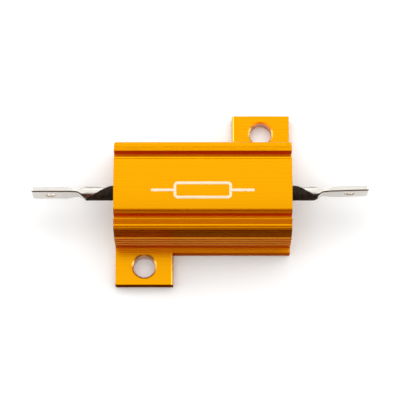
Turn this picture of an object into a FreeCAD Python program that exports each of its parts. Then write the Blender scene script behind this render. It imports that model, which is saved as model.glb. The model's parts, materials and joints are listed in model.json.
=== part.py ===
import FreeCAD, Part
import os
import Sketcher
from FreeCAD import Placement, Rotation, Vector

# Aluminium housed wirewound resistor, in millimetres.
# X runs along the terminals, Z points up from the heatsink face, and the origin lies on that
# face midway between the two fixing holes, which is also the middle of the housing.

doc = FreeCAD.newDocument("housed_resistor")

# Driving sizes
sheet = doc.addObject("Spreadsheet::Sheet", "Sizes")
SIZES = [
    ("HousingLength", 27.0, "length of the extrusion, end face to end face"),
    ("BoreDiameter", 9.0, "bore that holds the wound element"),
    ("BaseThickness", 2.4, "thickness of the base and the lugs"),
    ("BoreFloor", 0.3, "top of the base to the lowest line of the bore"),
    ("CrownWall", 2.3, "metal between the bore and the middle of the crowned top"),
    ("CrownRise", 0.4, "rise of the top from its edges to its middle"),
    ("SideWall", 3.1, "metal between the bore and the outer faces of the side fins"),
    ("LedgeWidth", 0.8, "base beyond the fins' outer faces"),
    ("LugReach", 5.0, "lugs beyond the base"),
    ("LugLength", 8.9, "length of each lug along the housing"),
    ("LugEdgeRadius", 0.4, "rounding on each lug's cut edge"),
    ("FixingDiameter", 3.4, "fixing hole, in the middle of its lug's length"),
    ("FixingSetback", 2.85, "middle of a fixing hole to its lug's outer edge"),
    ("FixingBevel", 0.25, "bevel at the top rim of each fixing hole"),
    ("TopWidth", 8.1, "width of the crowned top between the two top grooves"),
    ("StepDrop", 0.45, "height of the small step in each top groove, below the top's edge"),
    ("StepWidth", 0.35, "width of that step"),
    ("StepFall", 0.13, "fall of the step's face towards its outer edge"),
    ("GrooveWidth", 1.15, "width of each top groove, step included"),
    ("GrooveDepth", 2.4, "depth of each top groove below the top's edge"),
    ("RidgeDrop", 0.15, "inner edge of the shoulder ridge below the top's edge"),
    ("RidgeWidth", 1.09, "width of the shoulder ridge, which slopes outwards"),
    ("RidgeFall", 0.72, "fall of that slope"),
    ("RidgeFlat", 0.27, "level strip along the ridge's outer edge"),
    ("NickWidth", 0.15, "width of the nick between the ridge and the shoulder lip"),
    ("NickDepth", 0.38, "depth of the nick"),
    ("LipWidth", 0.25, "width of the shoulder lip"),
    ("LipFall", 0.5, "fall from the ridge's outer edge to the lip's outer edge"),
    ("FinRise", 2.1, "bore's axis to the top of the highest side fin"),
    ("FinCount", 4, "number of side fins on each side"),
    ("FluteHeight", 0.8, "clear height of the flute under each side fin"),
    ("FluteDepth", 0.35, "depth of the flutes behind the fins' outer faces"),
    ("ShoulderSetback", 0.22, "foot of the sloping shoulder behind the fins' outer faces"),
    ("FootHeight", 0.45, "plain wall between the lowest flute and the base"),
    ("CrownEdgeRadius", 0.3, "rounding on the top's long edges"),
    ("FinEdgeRadius", 0.2, "rounding on the long edges of the fins"),
    ("ProfileEdgeRadius", 0.1, "rounding on the long edges of steps, ridges and lips"),
    ("FillRecess", 0.3, "how far the filling stops short of each end face"),
    ("ElementShift", 0.4, "how far the wound element sits towards the left terminal"),
    ("CoreSetback", 3.5, "each end of the core to the housing's end face, before that shift"),
    ("CoreDiameter", 5.0, "ceramic core"),
    ("CapWall", 0.45, "wall of the pressed end caps"),
    ("CapBase", 0.6, "thickness of the caps' closed ends"),
    ("CapDepth", 2.4, "length of core inside each cap"),
    ("RibbonWidth", 0.8, "flat resistance ribbon"),
    ("RibbonThickness", 0.25, "flat resistance ribbon"),
    ("RibbonTurns", 8, "turns of resistance ribbon"),
    ("RibbonGap", 0.02, "clearance around the ribbon"),
    ("PinDiameter", 2.3, "round part of each terminal"),
    ("TerminalStandout", 12.3, "housing's end face to a terminal's tip, before the shift"),
    ("BladeLength", 6.9, "flattened part of each terminal"),
    ("BladeHeight", 4.0, "height of the flattened part"),
    ("BladeThickness", 0.8, "thickness of the flattened part"),
    ("NeckThickness", 0.55, "thickness at the inner end of the flattened part"),
    ("NeckHeight", 3.2, "height there"),
    ("NeckLength", 1.6, "length over which the round part is pressed flat"),
    ("FlareLength", 1.8, "length over which the flattened part widens from its neck"),
    ("TipRadius", 0.3, "corner rounding at a terminal's tip"),
    ("EyeDiameter", 1.6, "solder eye"),
    ("EyeSetback", 2.9, "middle of the solder eye to the tip"),
]
for row, (alias, value, meaning) in enumerate(SIZES, start=1):
    sheet.set(f"A{row}", meaning)
    sheet.set(f"B{row}", str(value))
    sheet.setAlias(f"B{row}", alias)
doc.recompute()


def size(name):
    """Value of one driving size."""
    return float(sheet.get(name))


def value_of(expression):
    """Number that an expression on the sheet gives."""
    result = sheet.evalExpression(expression)
    return float(getattr(result, "Value", result))


def origin_feature(body, role):
    """Origin plane or axis of a body, such as XY_Plane or X_Axis."""
    return next(item for item in body.Origin.OriginFeatures if item.Role == role)


def new_body(name):
    body = doc.addObject("PartDesign::Body", name)
    body.Label = name
    return body


def new_sketch(body, name, role):
    """Sketch on one of the body's own origin planes."""
    sketch = body.newObject("Sketcher::SketchObject", name)
    sketch.AttachmentSupport = [(origin_feature(body, role), "")]
    sketch.MapMode = "FlatFace"
    doc.recompute()
    return sketch


def bind(sketch, kind, references, expression):
    """Adds one dimension to a sketch and ties it to the sheet."""
    index = sketch.addConstraint(Sketcher.Constraint(kind, *references, value_of(expression)))
    sketch.setExpression(f"Constraints[{index}]", expression)


def place_corner(sketch, element, point, corner):
    """Holds one point of a sketch at a pair of expressions measured from the sketch's origin."""
    bind(sketch, "DistanceX", (-1, 1, element, point), corner[0])
    bind(sketch, "DistanceY", (-1, 1, element, point), corner[1])


def outline(sketch, corners, closed=True):
    """Straight lines through the corners. Each corner is a pair of expressions."""
    spots = [Vector(value_of(across), value_of(up), 0) for across, up in corners]
    first = sketch.GeometryCount
    sides = len(corners) if closed else len(corners) - 1
    for index in range(sides):
        following = (index + 1) % len(corners)
        sketch.addGeometry(Part.LineSegment(spots[index], spots[following]), False)
    for index in range(sides):
        if closed or index < sides - 1:
            following = first + (index + 1) % sides
            sketch.addConstraint(Sketcher.Constraint("Coincident", first + index, 2, following, 1))
        place_corner(sketch, first + index, 1, corners[index])
    if not closed:
        place_corner(sketch, first + sides - 1, 2, corners[-1])
    return first


def circle(sketch, across, up, diameter):
    """Circle with its centre and diameter tied to the sheet."""
    centre = Vector(value_of(across), value_of(up), 0)
    radius = value_of(diameter) / 2
    index = sketch.addGeometry(Part.Circle(centre, Vector(0, 0, 1), radius), False)
    place_corner(sketch, index, 3, (across, up))
    bind(sketch, "Diameter", (index,), diameter)
    return index


def pad(body, name, sketch, length):
    """Solid that reaches equally to both sides of its sketch."""
    feature = body.newObject("PartDesign::Pad", name)
    feature.Profile = sketch
    feature.SideType = "Symmetric"
    feature.setExpression("Length", length)
    doc.recompute()
    return feature


def pocket(body, name, sketch):
    """Cut through the whole body, to both sides of its sketch."""
    feature = body.newObject("PartDesign::Pocket", name)
    feature.Profile = sketch
    feature.SideType = "Symmetric"
    feature.Type = "ThroughAll"
    before = body.Shape.Volume
    doc.recompute()
    if body.Shape.Volume >= before:
        raise RuntimeError(f"{name} cuts nothing")
    return feature


def revolve(body, name, sketch):
    """Solid turned about the body's X axis."""
    feature = body.newObject("PartDesign::Revolution", name)
    feature.Profile = sketch
    feature.ReferenceAxis = (origin_feature(body, "X_Axis"), [""])
    feature.Angle = 360
    doc.recompute()
    return feature


def edges_of(feature, chosen):
    """Names of the feature's edges that a test accepts."""
    edges = feature.Shape.Edges
    return [f"Edge{number}" for number, edge in enumerate(edges, start=1) if chosen(edge)]


def fillet(body, name, feature, radius, chosen):
    rounding = body.newObject("PartDesign::Fillet", name)
    rounding.Base = (feature, edges_of(feature, chosen))
    rounding.setExpression("Radius", radius)
    doc.recompute()
    return rounding


# Heights and half widths that follow from the driving sizes
BORE_HEIGHT = "(Sizes.BaseThickness + Sizes.BoreFloor + Sizes.BoreDiameter / 2)"
CROWN_TOP = f"({BORE_HEIGHT} + Sizes.BoreDiameter / 2 + Sizes.CrownWall)"
TOP_EDGE = f"({CROWN_TOP} - Sizes.CrownRise)"
HALF_TOP = "(Sizes.TopWidth / 2)"
STEP_EDGE = f"({HALF_TOP} + Sizes.StepWidth)"
STEP_HEIGHT = f"({TOP_EDGE} - Sizes.StepDrop)"
GROOVE_FLOOR = f"({TOP_EDGE} - Sizes.GrooveDepth)"
RIDGE_INNER = f"({HALF_TOP} + Sizes.GrooveWidth)"
RIDGE_TOP = f"({TOP_EDGE} - Sizes.RidgeDrop)"
RIDGE_OUTER = f"({RIDGE_INNER} + Sizes.RidgeWidth)"
RIDGE_FOOT = f"({RIDGE_TOP} - Sizes.RidgeFall)"
NICK_OUTER = f"({RIDGE_OUTER} + Sizes.NickWidth)"
NICK_FLOOR = f"({RIDGE_FOOT} - Sizes.NickDepth)"
LIP_OUTER = f"({NICK_OUTER} + Sizes.LipWidth)"
LIP_FOOT = f"({RIDGE_FOOT} - Sizes.LipFall)"
HALF_SIDE = "(Sizes.BoreDiameter / 2 + Sizes.SideWall)"
FLUTE_FLOOR = f"({HALF_SIDE} - Sizes.FluteDepth)"
FIN_TOP = f"({BORE_HEIGHT} + Sizes.FinRise)"
FIN_PITCH = f"(({FIN_TOP} - Sizes.BaseThickness - Sizes.FootHeight) / Sizes.FinCount)"
HALF_BASE = f"({HALF_SIDE} + Sizes.LedgeWidth)"
HALF_SPAN = f"({HALF_BASE} + Sizes.LugReach)"
HALF_LENGTH = "(Sizes.HousingLength / 2)"
LUG_START = f"({HALF_LENGTH} - Sizes.LugLength)"
# Beyond all the metal, for the outer sides of cuts
PAST_SPAN = f"(2 * {HALF_SPAN})"
PAST_END = f"(2 * {HALF_LENGTH})"
# Slack when an edge is found by its place
TOLERANCE = 1e-6


def profile_side():
    """Corners of the extrusion on +Y, from the edge of the top down to the heatsink face.

    Also gives the corners whose long edges are rounded: those above the fins, and the fins'.
    """
    top_corner = (HALF_TOP, TOP_EDGE)
    step_corner = (STEP_EDGE, f"({STEP_HEIGHT} - Sizes.StepFall)")
    ridge_corner = (RIDGE_INNER, RIDGE_TOP)
    flat_corner = (RIDGE_OUTER, RIDGE_FOOT)
    lip_corner = (LIP_OUTER, LIP_FOOT)
    proud = [step_corner, ridge_corner, flat_corner, lip_corner]
    fin_corners = []
    corners = [
        top_corner,
        (HALF_TOP, STEP_HEIGHT),
        step_corner,
        (STEP_EDGE, GROOVE_FLOOR),
        (RIDGE_INNER, GROOVE_FLOOR),
        ridge_corner,
        (f"({RIDGE_OUTER} - Sizes.RidgeFlat)", RIDGE_FOOT),
        flat_corner,
        (RIDGE_OUTER, NICK_FLOOR),
        (NICK_OUTER, NICK_FLOOR),
        lip_corner,
        (f"({HALF_SIDE} - Sizes.ShoulderSetback)", FIN_TOP),
    ]
    for fin in range(round(size("FinCount"))):
        fin_top = f"({FIN_TOP} - {fin} * {FIN_PITCH})"
        flute_foot = f"({FIN_TOP} - {fin + 1} * {FIN_PITCH})"
        fin_edges = [(HALF_SIDE, fin_top), (HALF_SIDE, f"{flute_foot} + Sizes.FluteHeight")]
        fin_corners += fin_edges
        corners += [
            *fin_edges,
            (FLUTE_FLOOR, f"{flute_foot} + Sizes.FluteHeight"),
            (FLUTE_FLOOR, flute_foot),
        ]
    corners += [
        (HALF_SIDE, flute_foot),
        (HALF_SIDE, "Sizes.BaseThickness"),
        (HALF_SPAN, "Sizes.BaseThickness"),
        (HALF_SPAN, "0"),
    ]
    return corners, proud, fin_corners


def long_edge_at(corners):
    """Test for the edges along X that run through these corners or their mirror images."""
    spots = [(value_of(across), value_of(up)) for across, up in corners]

    def chosen(edge):
        box = edge.BoundBox
        straight = max(box.YLength, box.ZLength) < TOLERANCE
        return straight and any(abs(abs(box.YMin) - across) < TOLERANCE
                                and abs(box.ZMin - up) < TOLERANCE for across, up in spots)

    return chosen


def hole_top_rim(edge):
    """Test for a fixing hole's rim on top of its lug."""
    return (isinstance(edge.Curve, Part.Circle)
            and abs(edge.Curve.Radius - size("FixingDiameter") / 2) < TOLERANCE
            and abs(edge.BoundBox.ZMin - size("BaseThickness")) < TOLERANCE)


def lug_cut_edge(edge):
    """Test for the top edge along Y where the flange was cut away beside a lug."""
    box = edge.BoundBox
    return (max(box.XLength, box.ZLength) < TOLERANCE
            and abs(abs(box.XMin) - value_of(LUG_START)) < TOLERANCE
            and abs(box.ZMin - size("BaseThickness")) < TOLERANCE)


def housing():
    """Finned extrusion with a flange on each side, cut back to one lug at two opposite corners."""
    body = new_body("housing")
    right, proud, fin_corners = profile_side()
    left = [(f"-{across}", up) for across, up in reversed(right)]
    section = new_sketch(body, "housing_section", "YZ_Plane")
    first = outline(section, right + left, closed=False)
    last = first + len(right + left) - 2
    edge = Vector(value_of(HALF_TOP), value_of(TOP_EDGE), 0)
    crown = Part.Arc(edge, Vector(0, value_of(CROWN_TOP), 0), Vector(-edge.x, edge.y, 0))
    arc = section.addGeometry(crown, False)
    section.addConstraint(Sketcher.Constraint("Coincident", arc, 1, first, 1))
    section.addConstraint(Sketcher.Constraint("Coincident", arc, 2, last, 2))
    bind(section, "Radius", (arc,),
         f"({HALF_TOP} ^ 2 + Sizes.CrownRise ^ 2) / (2 * Sizes.CrownRise)")
    extrusion = pad(body, "housing_extrusion", section, "Sizes.HousingLength")
    crown_edges = fillet(body, "crown_edges", extrusion, "Sizes.CrownEdgeRadius",
                         long_edge_at(right[:1]))
    profile_edges = fillet(body, "profile_edges", crown_edges, "Sizes.ProfileEdgeRadius",
                           long_edge_at(proud))
    fillet(body, "fin_edges", profile_edges, "Sizes.FinEdgeRadius", long_edge_at(fin_corners))

    waste = new_sketch(body, "flange_waste", "XY_Plane")
    for sign in ("", "-"):
        outline(waste, [
            (f"{sign}{LUG_START}", f"{sign}{HALF_BASE}"),
            (f"{sign}{LUG_START}", f"{sign}{PAST_SPAN}"),
            (f"{sign}(-{PAST_END})", f"{sign}{PAST_SPAN}"),
            (f"{sign}(-{PAST_END})", f"{sign}{HALF_BASE}"),
        ])
    pocket(body, "flange_cut", waste)

    holes = new_sketch(body, "fixing_hole_centres", "XY_Plane")
    for sign in ("", "-"):
        circle(holes, f"{sign}({HALF_LENGTH} - Sizes.LugLength / 2)",
               f"{sign}({HALF_SPAN} - Sizes.FixingSetback)", "Sizes.FixingDiameter")
    drilled = pocket(body, "fixing_holes", holes)
    bevel = body.newObject("PartDesign::Chamfer", "fixing_bevels")
    bevel.Base = (drilled, edges_of(drilled, hole_top_rim))
    bevel.setExpression("Size", "Sizes.FixingBevel")
    doc.recompute()
    fillet(body, "lug_edges", bevel, "Sizes.LugEdgeRadius", lug_cut_edge)

    bore = new_sketch(body, "bore_section", "YZ_Plane")
    circle(bore, "0", BORE_HEIGHT, "Sizes.BoreDiameter")
    pocket(body, "bore", bore)
    return body


# Stations along the wound element, measured from its own middle
CORE_END = f"({HALF_LENGTH} - Sizes.CoreSetback)"
CAP_RIM = f"({CORE_END} - Sizes.CapDepth)"
CAP_FACE = f"({CORE_END} + Sizes.CapBase)"
CAP_RADIUS = "(Sizes.CoreDiameter / 2 + Sizes.CapWall)"
WINDING_RADIUS = "(Sizes.CoreDiameter / 2 + Sizes.RibbonThickness + 2 * Sizes.RibbonGap)"


def seat_in_bore(body, facing_left=False):
    """Puts a piece of the wound element on the bore's axis, turned round for the left end."""
    if facing_left:
        body.Placement = Placement(Vector(), Rotation(Vector(0, 0, 1), 180))
    body.setExpression("Placement.Base.x", "-Sizes.ElementShift")
    body.setExpression("Placement.Base.z", BORE_HEIGHT)
    return body


def ceramic_core():
    """Plain ceramic rod."""
    body = new_body("ceramic_core")
    section = new_sketch(body, "core_section", "YZ_Plane")
    circle(section, "0", "0", "Sizes.CoreDiameter")
    pad(body, "core_rod", section, f"2 * {CORE_END}")
    return seat_in_bore(body)


def end_cap(name, facing_left):
    """Pressed cup over one end of the core."""
    body = new_body(name)
    section = new_sketch(body, f"{name}_section", "XY_Plane")
    outline(section, [
        (CORE_END, "0"),
        (CORE_END, "Sizes.CoreDiameter / 2"),
        (CAP_RIM, "Sizes.CoreDiameter / 2"),
        (CAP_RIM, CAP_RADIUS),
        (CAP_FACE, CAP_RADIUS),
        (CAP_FACE, "0"),
    ])
    revolve(body, f"{name}_cup", section)
    return seat_in_bore(body, facing_left)


def resistance_winding():
    """Flat ribbon coiled on the core from one cap's rim to the other's."""
    body = new_body("resistance_winding")
    start = f"-({CAP_RIM} - Sizes.RibbonWidth / 2 - Sizes.RibbonGap)"
    inner = "(Sizes.CoreDiameter / 2 + Sizes.RibbonGap)"
    section = new_sketch(body, "ribbon_section", "XY_Plane")
    outline(section, [
        (f"{start} - Sizes.RibbonWidth / 2", inner),
        (f"{start} + Sizes.RibbonWidth / 2", inner),
        (f"{start} + Sizes.RibbonWidth / 2", f"{inner} + Sizes.RibbonThickness"),
        (f"{start} - Sizes.RibbonWidth / 2", f"{inner} + Sizes.RibbonThickness"),
    ])
    helix = body.newObject("PartDesign::AdditiveHelix", "ribbon_helix")
    helix.Profile = section
    helix.ReferenceAxis = (origin_feature(body, "X_Axis"), [""])
    helix.Mode = "height-turns-angle"
    helix.setExpression("Height", f"-2 * ({start})")
    helix.setExpression("Turns", "Sizes.RibbonTurns")
    doc.recompute()
    return seat_in_bore(body)


def moulding_compound():
    """Filling between the wound element and the bore, closed around both pins."""
    body = new_body("moulding_compound")
    face = f"({HALF_LENGTH} - Sizes.FillRecess)"
    shift = "Sizes.ElementShift"
    section = new_sketch(body, "filling_section", "XY_Plane")
    outline(section, [
        (f"-{face}", "Sizes.PinDiameter / 2"),
        (f"-{face}", "Sizes.BoreDiameter / 2"),
        (face, "Sizes.BoreDiameter / 2"),
        (face, "Sizes.PinDiameter / 2"),
        (f"{CAP_FACE} - {shift}", "Sizes.PinDiameter / 2"),
        (f"{CAP_FACE} - {shift}", CAP_RADIUS),
        (f"{CAP_RIM} - {shift}", CAP_RADIUS),
        (f"{CAP_RIM} - {shift}", WINDING_RADIUS),
        (f"-{CAP_RIM} - {shift}", WINDING_RADIUS),
        (f"-{CAP_RIM} - {shift}", CAP_RADIUS),
        (f"-{CAP_FACE} - {shift}", CAP_RADIUS),
        (f"-{CAP_FACE} - {shift}", "Sizes.PinDiameter / 2"),
    ])
    revolve(body, "filling", section)
    body.setExpression("Placement.Base.z", BORE_HEIGHT)
    return body


TIP = f"({HALF_LENGTH} + Sizes.TerminalStandout)"
BLADE_START = f"({TIP} - Sizes.BladeLength)"
NECK_START = f"({BLADE_START} - Sizes.NeckLength)"
FLARE_END = f"({BLADE_START} + Sizes.FlareLength)"


def station(body, name, distance):
    """Sketch square to the X axis at a distance along it."""
    sketch = new_sketch(body, name, "YZ_Plane")
    sketch.setExpression("AttachmentOffset.Base.z", distance)
    doc.recompute()
    return sketch


def rectangle(width, height):
    """Corners of a rectangle centred on the sketch's origin."""
    return [
        (f"-{width} / 2", f"-{height} / 2"),
        (f"{width} / 2", f"-{height} / 2"),
        (f"{width} / 2", f"{height} / 2"),
        (f"-{width} / 2", f"{height} / 2"),
    ]


def loft(body, name, start, end):
    """Straight-sided transition from one section to another."""
    feature = body.newObject("PartDesign::AdditiveLoft", name)
    feature.Profile = start
    feature.Sections = [end]
    doc.recompute()
    return feature


def tip_corner(edge):
    """Test for the two edges across a blade's thickness at its tip."""
    box = edge.BoundBox
    return box.XMin > value_of(TIP) - TOLERANCE and box.YLength > TOLERANCE


def terminal(name, facing_left):
    """Round pin welded to its cap, pressed flat outside the housing and pierced by a solder eye."""
    body = new_body(name)
    pin = new_sketch(body, f"{name}_pin_section", "XY_Plane")
    outline(pin, [
        (CAP_FACE, "0"),
        (CAP_FACE, "Sizes.PinDiameter / 2"),
        (NECK_START, "Sizes.PinDiameter / 2"),
        (NECK_START, "0"),
    ])
    revolve(body, f"{name}_pin", pin)

    round_end = station(body, f"{name}_round_end", NECK_START)
    circle(round_end, "0", "0", "Sizes.PinDiameter")
    neck = station(body, f"{name}_neck", BLADE_START)
    outline(neck, rectangle("Sizes.NeckThickness", "Sizes.NeckHeight"))
    flare = station(body, f"{name}_flare", FLARE_END)
    outline(flare, rectangle("Sizes.BladeThickness", "Sizes.BladeHeight"))
    loft(body, f"{name}_pressed_neck", round_end, neck)
    loft(body, f"{name}_pressed_flare", neck, flare)

    blade = new_sketch(body, f"{name}_blade_outline", "XZ_Plane")
    outline(blade, [
        (FLARE_END, "-Sizes.BladeHeight / 2"),
        (TIP, "-Sizes.BladeHeight / 2"),
        (TIP, "Sizes.BladeHeight / 2"),
        (FLARE_END, "Sizes.BladeHeight / 2"),
    ])
    flat = pad(body, f"{name}_blade", blade, "Sizes.BladeThickness")

    fillet(body, f"{name}_tip", flat, "Sizes.TipRadius", tip_corner)
    eye = new_sketch(body, f"{name}_eye_centre", "XZ_Plane")
    circle(eye, f"{TIP} - Sizes.EyeSetback", "0", "Sizes.EyeDiameter")
    pocket(body, f"{name}_eye", eye)
    return seat_in_bore(body, facing_left)


pieces = [
    housing(),
    ceramic_core(),
    end_cap("end_cap_left", True),
    end_cap("end_cap_right", False),
    resistance_winding(),
    moulding_compound(),
    terminal("terminal_left", True),
    terminal("terminal_right", False),
]
doc.recompute()

for item in doc.Objects:
    if any(state in ("Invalid", "Error") for state in item.State):
        raise RuntimeError(f"{item.Label} failed: {item.State}")
for piece in pieces:
    if piece.Shape.isNull() or not piece.Shape.isValid():
        raise RuntimeError(f"{piece.Label} has no valid shape")
    if len(piece.Shape.Solids) != 1:
        raise RuntimeError(f"{piece.Label} has {len(piece.Shape.Solids)} solids")

os.makedirs("parts", exist_ok=True)
for piece in pieces:
    piece.Shape.exportStep(f"parts/{piece.Label}.step")
    print(piece.Label, round(piece.Shape.Volume, 3), piece.Shape.BoundBox)
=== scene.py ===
import json
import math

import bpy
import numpy as np
from bpy.props import FloatProperty, FloatVectorProperty, PointerProperty
from bpy.types import Operator, Panel, PropertyGroup
from mathutils import Matrix, Vector


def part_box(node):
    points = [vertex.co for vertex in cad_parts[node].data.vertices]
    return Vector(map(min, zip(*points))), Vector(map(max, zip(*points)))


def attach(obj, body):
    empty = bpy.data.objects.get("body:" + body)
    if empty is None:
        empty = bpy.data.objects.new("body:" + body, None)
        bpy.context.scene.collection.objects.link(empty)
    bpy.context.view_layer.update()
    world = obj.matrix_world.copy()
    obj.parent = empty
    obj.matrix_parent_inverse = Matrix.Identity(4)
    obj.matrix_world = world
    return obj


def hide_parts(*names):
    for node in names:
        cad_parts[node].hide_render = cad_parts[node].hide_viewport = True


# The frame comes first, because sizes and places below start from its nodes
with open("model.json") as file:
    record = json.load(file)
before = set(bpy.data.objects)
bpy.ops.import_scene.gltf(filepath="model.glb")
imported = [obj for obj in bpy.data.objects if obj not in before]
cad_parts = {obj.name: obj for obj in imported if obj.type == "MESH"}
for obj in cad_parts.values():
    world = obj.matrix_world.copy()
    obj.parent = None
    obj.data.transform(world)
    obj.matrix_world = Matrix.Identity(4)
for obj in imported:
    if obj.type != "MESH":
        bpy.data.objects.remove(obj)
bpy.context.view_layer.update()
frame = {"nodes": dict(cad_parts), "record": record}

bl_info = {
    "name": "Housed power resistor",
    "version": (1, 0, 0),
    "blender": (4, 5, 0),
    "location": "3D View > Sidebar > Resistor",
    "description": "Finishes, terminals, filling, ink and stage of a gold anodised power resistor",
    "category": "Object",
}

MM = 0.001
BODY = "root"
# The photograph's frame in pixels, which the camera is worked out for, and its film in mm
PICTURE_WIDTH = 400
FILM_WIDTH = 36.0
# Nearest and furthest that the camera sees, in metres
CLIP = (0.01, 20.0)
# Edges bent by more than this stay sharp in a smooth piece
SHARP_EDGE = math.radians(40)
# Points along a terminal's pin, neck, blade and tip, along its section's thin sides, wide sides and
# corners, and round its eye
PIN_POINTS, NECK_POINTS, BLADE_POINTS, TIP_POINTS = 24, 34, 26, 16
THIN_POINTS, WIDE_POINTS, CORNER_POINTS, EYE_POINTS = 5, 13, 7, 64
# Points round the filling, across its ends and along its wall
TURN_POINTS, FACE_POINTS, WALL_POINTS = 160, 40, 12
# Points along a corner and a lead of the printed symbol
BOW_POINTS, LEAD_POINTS = 9, 12
# Signs of a rectangle's corners, counterclockwise
CORNERS = ((1, 1), (-1, 1), (-1, -1), (1, -1))
# Radians per metre along X, Y and Z of the three waves in the solder
SOLDER_WAVES = np.array([[2.1, 0.9, 1.3], [-1.1, 1.7, 2.3], [3.2, -0.6, -1.9]]) / MM
# Waves per turn of the filling's two ripples, and the second one's share of height and fineness
RIPPLE_WAVES = (3, 5)
SECOND_RIPPLE = 0.6
# Share of a section's corner where its painted edge shade starts to end
EDGE_SHADE_HELD = 0.35
# What noise usually keeps to, its specks and its brighter half
NOISE_RANGE = (0.3, 0.7)
SPECK_RANGE = (0.35, 0.75)
UPPER_RANGE = (0.45, 0.8)
# Parts of a normal between which a face turns from upright to leaning, from leaning to level, and
# from leaning to facing along the housing
OFF_UPRIGHT = (0.15, 0.3)
OFF_LEVEL = (0.85, 0.95)
ON_END = (0.9, 0.95)
# Parts of a ray's heading between which the light in metal changes
RISING = (0.1, 0.5)  # upwards, where it grows
STRIP_BEHIND = (0.62, 0.75)  # towards +Y, where the strip begins
DIM_BEHIND = (0.93, 0.98)  # nearly level that way, where it is dim
BEYOND_ENDS = (0.55, 0.75)  # aside, where the ends begin
IN_FRONT = (-0.15, -0.45)  # towards -Y, where it is warm
FRONT_RISING = (0.55, 0.75)  # upwards in that front, where the low light ends
FRONT_ASIDE = (0.12, 0.25)  # aside in that front, where the warmth ends
# Cosines of the angle to its middle between which the light on matt surfaces grows
NEAR_KEY = (0.7, 0.97)


def linear(code):
    """Linear RGBA of a colour written as sRGB hex, by the sRGB curve."""
    parts = [int(code[start:start + 2], 16) / 255 for start in (1, 3, 5)]
    return (*(c / 12.92 if c <= 0.04045 else ((c + 0.055) / 1.055) ** 2.4 for c in parts), 1.0)


def mount(name):
    """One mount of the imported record."""
    return next(entry for entry in frame["record"]["mounts"] if entry["name"] == name)


def offset(name, description, default, **limits):
    """A distance in metres that the sidebar shows with its unit."""
    return FloatProperty(name=name, description=description, default=default, precision=5,
                         subtype="DISTANCE", unit="LENGTH", **limits)


def length(name, description, default):
    """A distance that can't be negative."""
    return offset(name, description, default, min=0.0)


def angle(name, description, degrees):
    """An angle, kept in radians."""
    return FloatProperty(name=name, description=description, default=math.radians(degrees),
                         subtype="ANGLE", unit="ROTATION")


def amount(name, description, default):
    """A plain number: a ratio, or a strength of light where 1 is white."""
    return FloatProperty(name=name, description=description, default=default, min=0.0)


def span(name, description, low, high):
    """The two ends of what noise varies: a roughness, or a factor of a colour."""
    return FloatVectorProperty(name=name, description=description, default=(low, high),
                               size=2, min=0.0)


def colour(name, description, code):
    """A colour, given as sRGB hex and kept linear."""
    return FloatVectorProperty(name=name, description=description, default=linear(code)[:3],
                               size=3, min=0.0, max=1.0, subtype="COLOR")


class HousingFinish(PropertyGroup):
    gold: colour("Gold", "Reflection of the dyed oxide seen square on", "#FDAD06")
    gold_edge: colour("Gold at a glance", "Reflection of the oxide at a low angle", "#AC5C0C")
    # Painted highlight: a paler gold on the fins' and lugs' small edges, for the light they catch
    painted_edge_highlight: colour("Pale gold", "Dye is thin on the fins' and lugs' small edges", "#FFC464")
    fin_top: length("Fin top", "Height that those edges stay under", 9.5 * MM)
    # Bare metal in the holes, lightened to a pale pink that is partly painted light in their shade
    hole_wall: colour("Hole wall", "Bare metal in the drilled holes", "#F2D2C0")
    hole_along: length("Hole along", "Fixing hole's distance from the middle along X", 9.1 * MM)
    hole_across: length("Hole across", "Fixing hole's distance from the middle along Y", 10.55 * MM)
    hole_radius: length("Hole radius", "Radius of the fixing holes", 1.7 * MM)
    line_pitch: length("Line pitch", "Spacing of the extrusion lines", 0.25 * MM)
    line_length: length("Line length", "How far one extrusion line runs", 30 * MM)
    saw_pitch: length("Saw pitch", "Spacing of the saw marks on the ends", 0.18 * MM)
    saw_slant: angle("Saw slant", "Angle of the saw marks across the ends", 8)
    line_depth: length("Line depth", "Depth of both kinds of line", 0.004 * MM)
    dye_edge: length("Dye edge", "Width over which the dye ends at a hole", 0.05 * MM)
    # Height over which that painted highlight fades out
    highlight_fade: length("Pale edge", "Height over which the paler dye ends", 0.5 * MM)
    shade: span("Shade", "Lightness of the lines", 0.97, 1.0)
    roughness: span("Roughness", "Roughness across the lines", 0.25, 0.33)


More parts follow.
